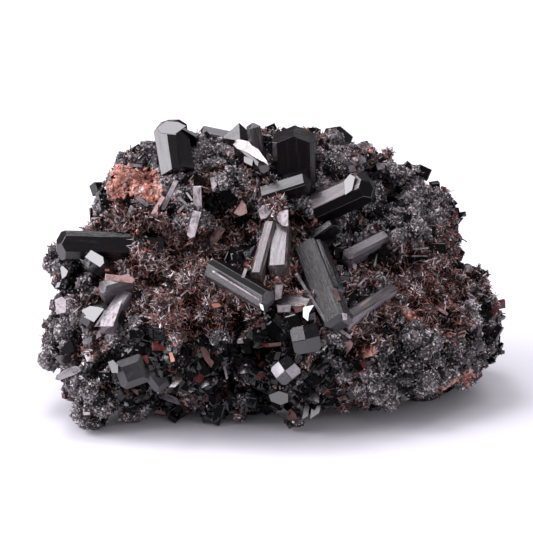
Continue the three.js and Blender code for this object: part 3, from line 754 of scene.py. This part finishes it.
# Each face: how it is turned, what it is made of, and its outline in the picture's pixels.
FACES = [
    ("left", "black", (186, 135, 194, 134, 197, 140, 196, 149, 190, 148, 186, 143)),
    ("fill", "black", (176, 122, 190, 131, 200, 134, 196, 137, 184, 130, 178, 128)),
    ("top", "black", (157, 128, 166, 121, 178, 122, 186, 126, 175, 134, 161, 133)),
    ("top", "black", (244, 156, 253, 160, 252, 166, 244, 162)),
    ("top", "black", (254, 172, 256, 172, 260, 179, 258, 180)),
    ("even", "pink", (203, 247, 218, 225, 222, 228, 214, 247, 206, 252)),
    ("even", "pink", (234, 213, 242, 200, 246, 205, 247, 213, 240, 216)),
    ("even", "pale", (259, 212, 262, 206, 268, 204, 271, 212, 266, 218, 261, 219)),
    ("top", "pale", (277, 217, 280, 211, 288, 210, 288, 226, 283, 226, 278, 221)),
    ("even", "pale", (212, 178, 216, 178, 217, 185, 213, 190)),
    ("even", "pale", (275, 285, 283, 285, 281, 298, 275, 300)),
    ("left", "black", (85, 257, 91, 250, 103, 257, 104, 263, 100, 267, 92, 262)),
    ("left", "black", (60, 266, 63, 266, 68, 271, 66, 276, 62, 279, 61, 272)),
    ("left", "black", (62, 278, 59, 287, 55, 288, 57, 283)),
    ("even", "pale", (55, 300, 62, 297, 66, 300, 66, 312, 57, 314)),
    ("left", "black", (82, 310, 90, 306, 98, 307, 104, 309, 94, 322, 84, 317)),
    ("top", "black", (94, 327, 97, 326, 108, 310, 105, 310)),
    ("left", "black", (72, 313, 75, 312, 80, 307, 82, 305)),
    ("top", "grey", (57, 375, 66, 369, 75, 366, 79, 367, 81, 371, 74, 375, 60, 380, 56, 379)),
    ("fill", "black", (57, 356, 62, 355, 70, 356, 73, 361, 67, 366, 60, 361, 55, 358)),
    ("dark", "black", (60, 350, 68, 341, 72, 342, 74, 352, 64, 354)),
    ("even", "grey", (83, 340, 88, 337, 92, 336, 92, 341, 87, 346, 83, 344)),
    ("even", "pale", (97, 333, 100, 331, 101, 336, 96, 339)),
    ("hot", "black", (122, 335, 128, 339, 127, 344, 122, 342)),
    ("hot", "black", (119, 349, 126, 352, 124, 354, 119, 352)),
    ("even", "pale", (107, 402, 112, 403, 115, 408, 109, 405)),
    ("even", "pale", (83, 412, 90, 412, 90, 415, 84, 415)),
    ("hot", "black", (81, 363, 84, 362, 84, 366)),
    ("hot", "black", (84, 354, 86, 353, 89, 360, 87, 362)),
    ("top", "black", (108, 362, 113, 360, 118, 365, 118, 373, 112, 373)),
    ("hot", "black", (177, 369, 182, 370, 182, 380, 175, 387, 169, 387, 175, 379)),
    ("hot", "black", (199, 384, 207, 378, 214, 377, 210, 384, 202, 388)),
    ("hot", "black", (238, 367, 243, 366, 247, 366, 249, 370, 246, 373, 238, 374)),
    ("high", "black", (210, 395, 216, 393, 225, 392, 227, 396, 220, 402, 213, 406, 209, 401)),
    ("fill", "black", (185, 400, 190, 391, 191, 402)),
    ("fill", "black", (192, 403, 200, 400, 203, 404, 199, 407, 193, 406)),
    ("fill", "black", (164, 387, 170, 387, 178, 392, 176, 394)),
    ("dark", "grey", (158, 395, 163, 392, 177, 398, 180, 405, 174, 403, 160, 398)),
    ("even", "grey", (173, 347, 177, 347, 177, 353, 173, 353)),
    ("even", "salmon", (169, 353, 172, 352, 175, 361, 171, 362)),
    ("even", "maroon", (199, 347, 202, 346, 209, 350, 210, 358, 214, 362, 211, 367, 205, 360)),
    ("even", "pale", (222, 362, 225, 363, 228, 378, 226, 379)),
    ("fill", "black", (269, 395, 279, 391, 288, 394, 288, 402, 281, 405, 271, 401)),
    ("high", "black", (309, 388, 314, 388, 319, 395, 319, 403, 312, 400, 309, 395)),
    ("high", "black", (306, 398, 310, 402, 308, 416, 302, 419)),
    ("high", "black", (312, 404, 321, 406, 319, 413, 310, 419)),
    ("even", "maroon", (286, 412, 291, 409, 296, 414, 297, 419, 288, 420)),
    ("fill", "black", (256, 358, 263, 355, 266, 352, 264, 358, 259, 361)),
    ("even", "pink", (337, 398, 345, 395, 348, 399, 340, 401)),
    ("high", "black", (397, 391, 408, 385, 410, 379, 415, 384, 414, 389, 404, 394, 396, 399)),
    ("even", "pink", (345, 343, 350, 340, 353, 344, 350, 350, 346, 355, 347, 348)),
    ("even", "grey", (477, 343, 483, 343, 484, 350, 478, 352)),
    ("even", "pale", (352, 262, 357, 265, 356, 270, 353, 268)),
    ("even", "pale", (392, 250, 399, 247, 399, 249, 393, 252)),
    ("hot", "black", (391, 270, 394, 269, 396, 272, 393, 273)),
    ("even", "grey", (348, 166, 355, 165, 356, 171, 350, 172)),
    ("even", "grey", (358, 158, 365, 157, 366, 162, 360, 164)),
    ("even", "grey", (376, 164, 384, 163, 385, 168, 378, 170)),
    # Painted highlight: a face made pale in place of the sheen that it mirrors.
    ("top", "painted_highlight", (
        234, 145, 240, 140, 249, 142, 252, 146, 258, 149, 262, 155,
        266, 160, 268, 165, 264, 162, 256, 158, 247, 152, 238, 149,
    )),
    ("even", "maroon", (333, 288, 337, 289, 341, 300, 337, 301)),
    ("dark", "black", (167, 134, 176, 135, 179, 168, 172, 168)),
    ("left", "black", (344, 181, 350, 174, 355, 177, 352, 190, 345, 195)),
    ("even", "pale", (342, 313, 347, 314, 347, 320, 343, 320)),
    ("even", "pale", (277, 305, 291, 305, 290, 312, 278, 312)),
    ("even", "maroon", (293, 307, 304, 305, 302, 311, 296, 313)),
    ("hot", "black", (303, 307, 314, 305, 309, 313, 308, 321, 303, 317)),
    ("even", "grey", (308, 315, 315, 312, 315, 319, 309, 320)),
    ("hot", "black", (259, 303, 263, 305, 264, 311, 261, 309)),
    ("even", "salmon", (212, 304, 218, 303, 222, 306, 214, 308)),
    ("even", "salmon", (105, 269, 109, 269, 109, 271, 105, 271)),
    ("even", "grey", (80, 259, 90, 263, 88, 268, 82, 263)),
    ("even", "pale", (97, 326, 110, 308, 122, 300, 113, 326)),
]

# Narrow blades: both ends and the width in the picture's pixels, and what they are made of.
BLADES = [
    (176, 181, 163, 208, 4.5, "pale"), (163, 197, 153, 214, 4, "pink"), (186, 192, 192, 200, 2, "pale"),
    (197, 187, 198, 212, 8, "pale"), (197, 212, 191, 235, 8, "pale"), (178, 197, 186, 204, 2.5, "grey"),
    (186, 204, 178, 212, 2.5, "pale"), (137, 197, 147, 205, 4, "grey"),
    (132, 206, 128, 216, 3.5, "pale"), (130, 165, 141, 166, 3, "grey"), (222, 228, 208, 250, 7, "pink"),
    (212, 178, 214, 190, 4, "pale"), (246, 269, 243, 277, 3, "pale"), (413, 249, 428, 248, 1.6, "grey"),
    (412, 256, 428, 256, 1.8, "pale"), (413, 263, 423, 260, 1.6, "grey"), (358, 286, 366, 278, 2, "pale"),
    (334, 246, 340, 243, 1.5, "pale"), (436, 307, 447, 314, 3, "pink"), (465, 328, 471, 331, 2, "pale"),
    (480, 327, 478, 336, 2.5, "grey"), (476, 299, 468, 293, 2, "pale"), (214, 272, 258, 299, 1.6, "pale"),
    (297, 275, 325, 320, 3, "grey"), (106, 277, 132, 280, 6, "pink"), (333, 325, 350, 337, 3, "pale"),
]
STUFFS = ["black", "painted_highlight", "pale", "pink", "grey", "maroon", "salmon"]


def blade_outline(x0, y0, x1, y1, width):
    """The outline of a blade as a strip with a bevelled end."""
    along = unit((x1 - x0, y1 - y0))
    aside = np.array([-along[1], along[0]]) * width / 2
    first, last = np.array([x0, y0], float), np.array([x1, y1], float)
    return [first + aside, first - aside, last - aside, last + along * width * 0.4, last + aside]


def small_crystal(tree, outline, normal):
    """A crystal seen end on: its face by outline and turn, a narrow bevel, and a body down to the rock."""
    ways = [sight(x, y) for x, y in outline]
    centre = np.mean(outline, axis=0)
    inner = [sight(*(centre + 0.6 * (np.array(p) - centre))) for p in outline]
    hits = [tree.ray_cast(Vector(EYE), Vector(way))[3] for way in inner]
    middle = sight(*centre)
    known = [hit for hit in hits if hit is not None]
    if not known:
        return None
    reach = tree.ray_cast(Vector(EYE), Vector(middle))[3] or min(known)
    at = EYE + middle * reach
    spans = [((at - EYE) @ normal) / (way @ normal) for way in ways]
    lifts = [0.6 * (span - reach) + reach - (hit or reach) for span, hit in zip(spans, hits)]
    lift = min(max(max(lifts), 0), 1.1 * MM) + 0.2 * MM
    front = [EYE + way * (span - lift) for way, span in zip(ways, spans)]
    out = max(0.0, CAD_BOX[0][1] - 0.6 * MM - min(p[1] for p in front))
    front = [p + middle * out / middle[1] for p in front]
    centre = np.mean(front, axis=0)
    depth = lift + min(max(0.0, -min(lifts)), 4 * MM) + 1.0 * MM
    bevel = [centre + (p - centre) * 1.06 + unit(p - EYE) * 0.12 * MM for p in front]
    back = [centre + (p - centre) * 0.8 + unit(p - EYE) * depth for p in front]
    return np.array(front), np.array(bevel), np.array(back)


def build_faces(tree, materials):
    """All small crystals as one mesh, a material slot to each stuff; returns their faces and outlines."""
    points, faces, slots, kept = [], [], [], []
    rows = [(turn, stuff, np.reshape(flat, (-1, 2))) for turn, stuff, flat in FACES]
    rows += [("even", stuff, np.array(blade_outline(*ends, width))) for *ends, width, stuff in BLADES]
    for turn, stuff, outline in rows:
        normal = unit(np.array(TURNS[turn]) + random.normal(size=3) * (0.02 if stuff == "black" else 0.12))
        rings = small_crystal(tree, outline, normal)
        if rings is None:
            continue
        start, count = len(points), len(outline)
        for ring in rings:
            points.extend(ring.tolist())
        last = start + 2 * count
        shape = [tuple(range(start, start + count)), tuple(reversed(range(last, last + count)))]
        for ring in (0, 1):
            for i in range(count):
                j = (i + 1) % count
                low, high = start + ring * count, start + (ring + 1) * count
                shape.append((low + i, high + i, high + j, low + j))
        faces.extend(shape)
        slots.extend([STUFFS.index(stuff)] * len(shape))
        kept.append((outline, rings[0]))
    piece = new_piece("small_crystals", points, faces, materials[STUFFS[0]])
    for stuff in STUFFS[1:]:
        piece.data.materials.append(materials[stuff])
    piece.data.polygons.foreach_set("material_index", slots)
    edit = bmesh.new()
    edit.from_mesh(piece.data)
    bmesh.ops.recalc_face_normals(edit, faces=edit.faces)
    edit.to_mesh(piece.data)
    edit.free()
    return kept


def covers(kept, at, margin=1.2):
    """Which points stand in front of one of the small crystals' faces, or that many pixels beside it."""
    ahead = at - EYE
    far = ahead @ AHEAD
    across = ahead[:, 0] / far * PIXELS + 266.5
    down = 266.5 - (ahead @ ABOVE) / far * PIXELS
    hidden = np.zeros(len(at), bool)
    for outline, front in kept:
        centre = outline.mean(axis=0)
        inside = np.ones(len(at), bool)
        turn = np.sign(np.cross(outline[1] - outline[0], outline[2] - outline[1]))
        for a, b in zip(outline, np.roll(outline, -1, axis=0)):
            edge = b - a
            side = (edge[0] * (down - a[1]) - edge[1] * (across - a[0])) / max(np.hypot(*edge), 1e-6)
            inside &= side * turn > -margin
        depth = (front - EYE) @ AHEAD
        hidden |= inside & (far < depth.max() + 1.0 * MM) & (far > depth.min() - 6 * MM)
    return hidden


# Druse


def tangled(normals, spread):
    """Directions leaning at random from each normal, by about that much."""
    lean = random.normal(size=normals.shape)
    ways = unit(normals + spread * lean)
    under = (ways * normals).sum(axis=1) < 0.05
    ways[under] -= 2 * (ways[under] * normals[under]).sum(axis=1, keepdims=True) * normals[under]
    return ways


# For each piece: the kind of druse, template, most copies, widths and lengths in mm, how far they lean,
# and the share of their length that is sunk.
PLANS = {
    "needle_felt": ("felt", NEEDLE, 24000, (0.12, 0.34), (0.5, 1.8), 2.6, 0.4),
    "splinter_felt": ("felt", SPLINTER, 30000, (0.14, 0.4), (0.5, 1.5), 2.2, 0.3),
    "salmon_druse": ("salmon", GRAIN, 1400, (0.5, 1.3), (0.35, 0.8), 0.5, 0.45),
    "grey_druse": ("grey", GRAIN, 24500, (0.16, 0.5), (0.25, 0.75), 0.9, 0.35),
    "grey_splinters": ("grey", SPLINTER, 20000, (0.2, 0.5), (0.3, 0.7), 0.9, 0.4),
    "black_druse": ("black", BLOCK, 4600, (0.4, 2.3), (0.5, 1.7), 0.22, 0.8),
    "black_points": ("black", PRISM, 1800, (0.3, 1.3), (0.4, 1.4), 0.5, 0.6),
}


OVERHANG = 0.9 * MM  # how far the druse may stand out of the solids' box


def build_druse(rock, zone_centres, zone_spans, kept, materials):
    at, normals, relief = scatter_on(rock.data, 190000)
    keep = (at[:, 2] > 0.9 * MM) & ~covers(kept, at)
    at, normals, relief = at[keep], normals[keep], relief[keep]
    weights = kind_weights(at / MM, ZONES, zone_centres, zone_spans)
    pick = random.random(len(at))[:, None]
    kinds = (weights.cumsum(axis=1) < pick).sum(axis=1)
    clump = np.array([noise.noise(Vector(p / MM / 1.3)) for p in at])
    used = dict.fromkeys(KINDS, 0)
    for name, (kind, template, most, widths, lengths, spread, sunk) in PLANS.items():
        chosen = np.flatnonzero(kinds == KINDS.index(kind))[used[kind] :][:most]
        used[kind] += most
        if kind == "black":
            chosen = chosen[~covers(kept, at[chosen], 3 * widths[1])]
        count = len(chosen)
        stand = normals[chosen]
        if kind == "black":
            to_eye = unit(EYE - at[chosen])
            facing = (stand * to_eye).sum(axis=1, keepdims=True) > 0.1
            most_face = random.random((count, 1)) < 0.85
            stand = np.where(facing & most_face, unit(0.35 * stand + to_eye), stand)
        ways = tangled(stand, spread)
        width = widths[0] + (widths[1] - widths[0]) * random.random(count) ** 2
        length = lengths[0] + (lengths[1] - lengths[0]) * random.random(count) ** 2
        start = at[chosen] - ways * (length * sunk * MM)[:, None]
        # Painted shade: grains low in the relief get darker tints, raised ones paler; the rest of the tint is
        # random and clumped.
        tints = np.clip(random.random(count) + 0.45 * clump[chosen] + 0.12 * relief[chosen], 0, 1)
        depth = width * (0.45 + 0.55 * random.random(count))
        frames = frames_along(ways)
        rows = [start, frames, width * MM, depth * MM, length * MM, tints]
        points = copies(template, *rows)[0]
        inside = (points > np.array(CAD_BOX[0]) - OVERHANG) & (points < np.array(CAD_BOX[1]) + OVERHANG)
        whole = inside.all(axis=1).reshape(count, -1).all(axis=1)
        points, faces, tint = copies(template, *(row[whole] for row in rows))
        points[:, 2] = np.maximum(points[:, 2], 0.02 * MM)
        new_piece(name, points.tolist(), faces, materials[name], tint)


make_camera()
make_room()
make_floor()
softbox("overhead_left", (-0.16, 0.12, 0.5), (0.3, 0.27), 4.5)
softbox("overhead_right", (0.16, 0.12, 0.5), (0.3, 0.27), 2.8)
softbox("hot_centre", (-0.095, 0.163, 0.49), (0.15, 0.15), 6.5)
softbox("left", (-0.58, -0.045, 0.3), (0.56, 0.62), 5.5)
softbox("right_front", (0.44, -0.34, 0.17), (0.26, 0.34), 1.5)
bpy.context.scene.view_settings.view_transform = "Standard"

JET, BLACK, DARK = (0.002, 0.0018, 0.002), (0.008, 0.007, 0.008), (0.03, 0.027, 0.03)
MAROON, BROWN, RUST = (0.1, 0.024, 0.022), (0.24, 0.1, 0.088), (0.52, 0.2, 0.14)
SALMON, PALE = (0.56, 0.25, 0.19), (0.52, 0.44, 0.44)
GREY, LIGHT, WHITE = (0.22, 0.2, 0.21), (0.42, 0.38, 0.39), (0.72, 0.66, 0.67)
crystal_materials = {
    "glossy": crystal_material("black_crystal", (0.006, 0.004, 0.005), (0.02, 0.012, 0.012), 0.2, 0.06, 0.2),
    "dim": crystal_material("dim_crystal", (0.004, 0.003, 0.004), (0.035, 0.022, 0.022), 0.15, 0.1, 0.6),
    # Painted highlight: a pale facet in place of the lamp that it mirrors.
    "painted_highlight": crystal_material("painted_glare_facet", (0.4, 0.38, 0.4), (0.55, 0.52, 0.55), 0.3, 0.25, 0.2),
    "striated": crystal_material(
        "striated_crystal", (0.004, 0.003, 0.004), (0.24, 0.18, 0.18), 0.12, 0.14, 1.0
    ),
    "banded": crystal_material("banded_crystal", (0.03, 0.026, 0.03), (0.4, 0.14, 0.09), 0.25, 0.15, 0.7),
    "pale": crystal_material("pale_crystal", (0.045, 0.036, 0.038), (0.3, 0.19, 0.17), 0.35, 0.2, 0.5),
    "light": crystal_material("light_crystal", (0.075, 0.066, 0.074), (0.22, 0.19, 0.2), 0.4, 0.22, 0.5),
    # Painted reflection: pale facets in place of the lamps and floor that they mirror.
    "bright": crystal_material("bright_crystal", (0.3, 0.275, 0.3), (0.46, 0.41, 0.44), 0.4, 0.22, 0.6),
    # Painted shade: facets darker and, by their low IOR set below, less shiny than the black crystal.
    "painted_shade_facet": crystal_material("painted_shade_crystal", (0.003, 0.0025, 0.003), (0.02, 0.014, 0.014), 0.1, 0.25, 0.4),
    "grey": crystal_material("grey_crystal", (0.03, 0.027, 0.03), (0.11, 0.09, 0.095), 0.4, 0.2, 0.5),
    "dull": crystal_material("dull_crystal", (0.02, 0.019, 0.021), (0.045, 0.04, 0.043), 0.4, 0.3, 0.3),
}
small_materials = {
    "black": crystal_material("small_black", (0.006, 0.004, 0.005), (0.02, 0.012, 0.012), 0.1, 0.08, 0.1),
    # Painted highlight: this pale colour stands in for a sheen.
    "painted_highlight": shard_material("small_painted_glare", (0.42, 0.36, 0.36), (0.78, 0.7, 0.68), 0.3),
    "pale": shard_material("small_pale", (0.05, 0.04, 0.045), (0.46, 0.4, 0.42), 0.3),
    "pink": shard_material("small_pink", (0.06, 0.03, 0.03), (0.46, 0.27, 0.25), 0.35),
    "grey": shard_material("small_grey", (0.03, 0.025, 0.03), (0.2, 0.18, 0.195), 0.3),
    "maroon": shard_material("small_maroon", (0.015, 0.01, 0.01), (0.15, 0.06, 0.055), 0.35),
    "salmon": shard_material("small_salmon", (0.2, 0.07, 0.05), (0.62, 0.25, 0.17), 0.4),
}
# Painted shade: the darkened facets reflect less.
crystal_materials["painted_shade_facet"].node_tree.nodes["Principled BSDF"].inputs["IOR"].default_value = 1.22
small_materials["black"].node_tree.nodes["Principled BSDF"].inputs["Specular IOR Level"].default_value = 0.8
felt_tints = [
    (0, JET), (0.2, BLACK), (0.36, MAROON), (0.5, BROWN), (0.64, RUST), (0.76, GREY), (0.88, PALE), (1, WHITE),
]
grey_tints = [(0, BLACK), (0.25, DARK), (0.42, GREY), (0.68, LIGHT), (1, WHITE)]
druse_materials = {
    "needle_felt": druse_material("needle_felt", felt_tints, 0.25),
    "splinter_felt": druse_material("splinter_felt", felt_tints, 0.25),
    "salmon_druse": druse_material(
        "salmon_druse", [(0, BROWN), (0.3, RUST), (0.75, SALMON), (1, PALE)], 0.5
    ),
    "grey_druse": druse_material("grey_druse", grey_tints, 0.32),
    "grey_splinters": druse_material("grey_splinters", grey_tints, 0.3),
    "black_points": druse_material(
        "black_points", [(0, JET), (0.9, JET), (0.96, MAROON), (1, GREY)], 0.12, 1.55
    ),
    "black_druse": druse_material("black_druse", [(0, JET), (0.96, JET), (1, MAROON)], 0.1, 1.45),
}

for name in sorted(NODES):
    if name != "matrix":
        build_crystal(name, crystal_materials)
rock, zone_centres, zone_spans = build_matrix(rock_material(), crystals_tree())
kept = build_faces(crystals_tree(rock.data), small_materials)
build_druse(rock, zone_centres, zone_spans, kept, druse_materials)
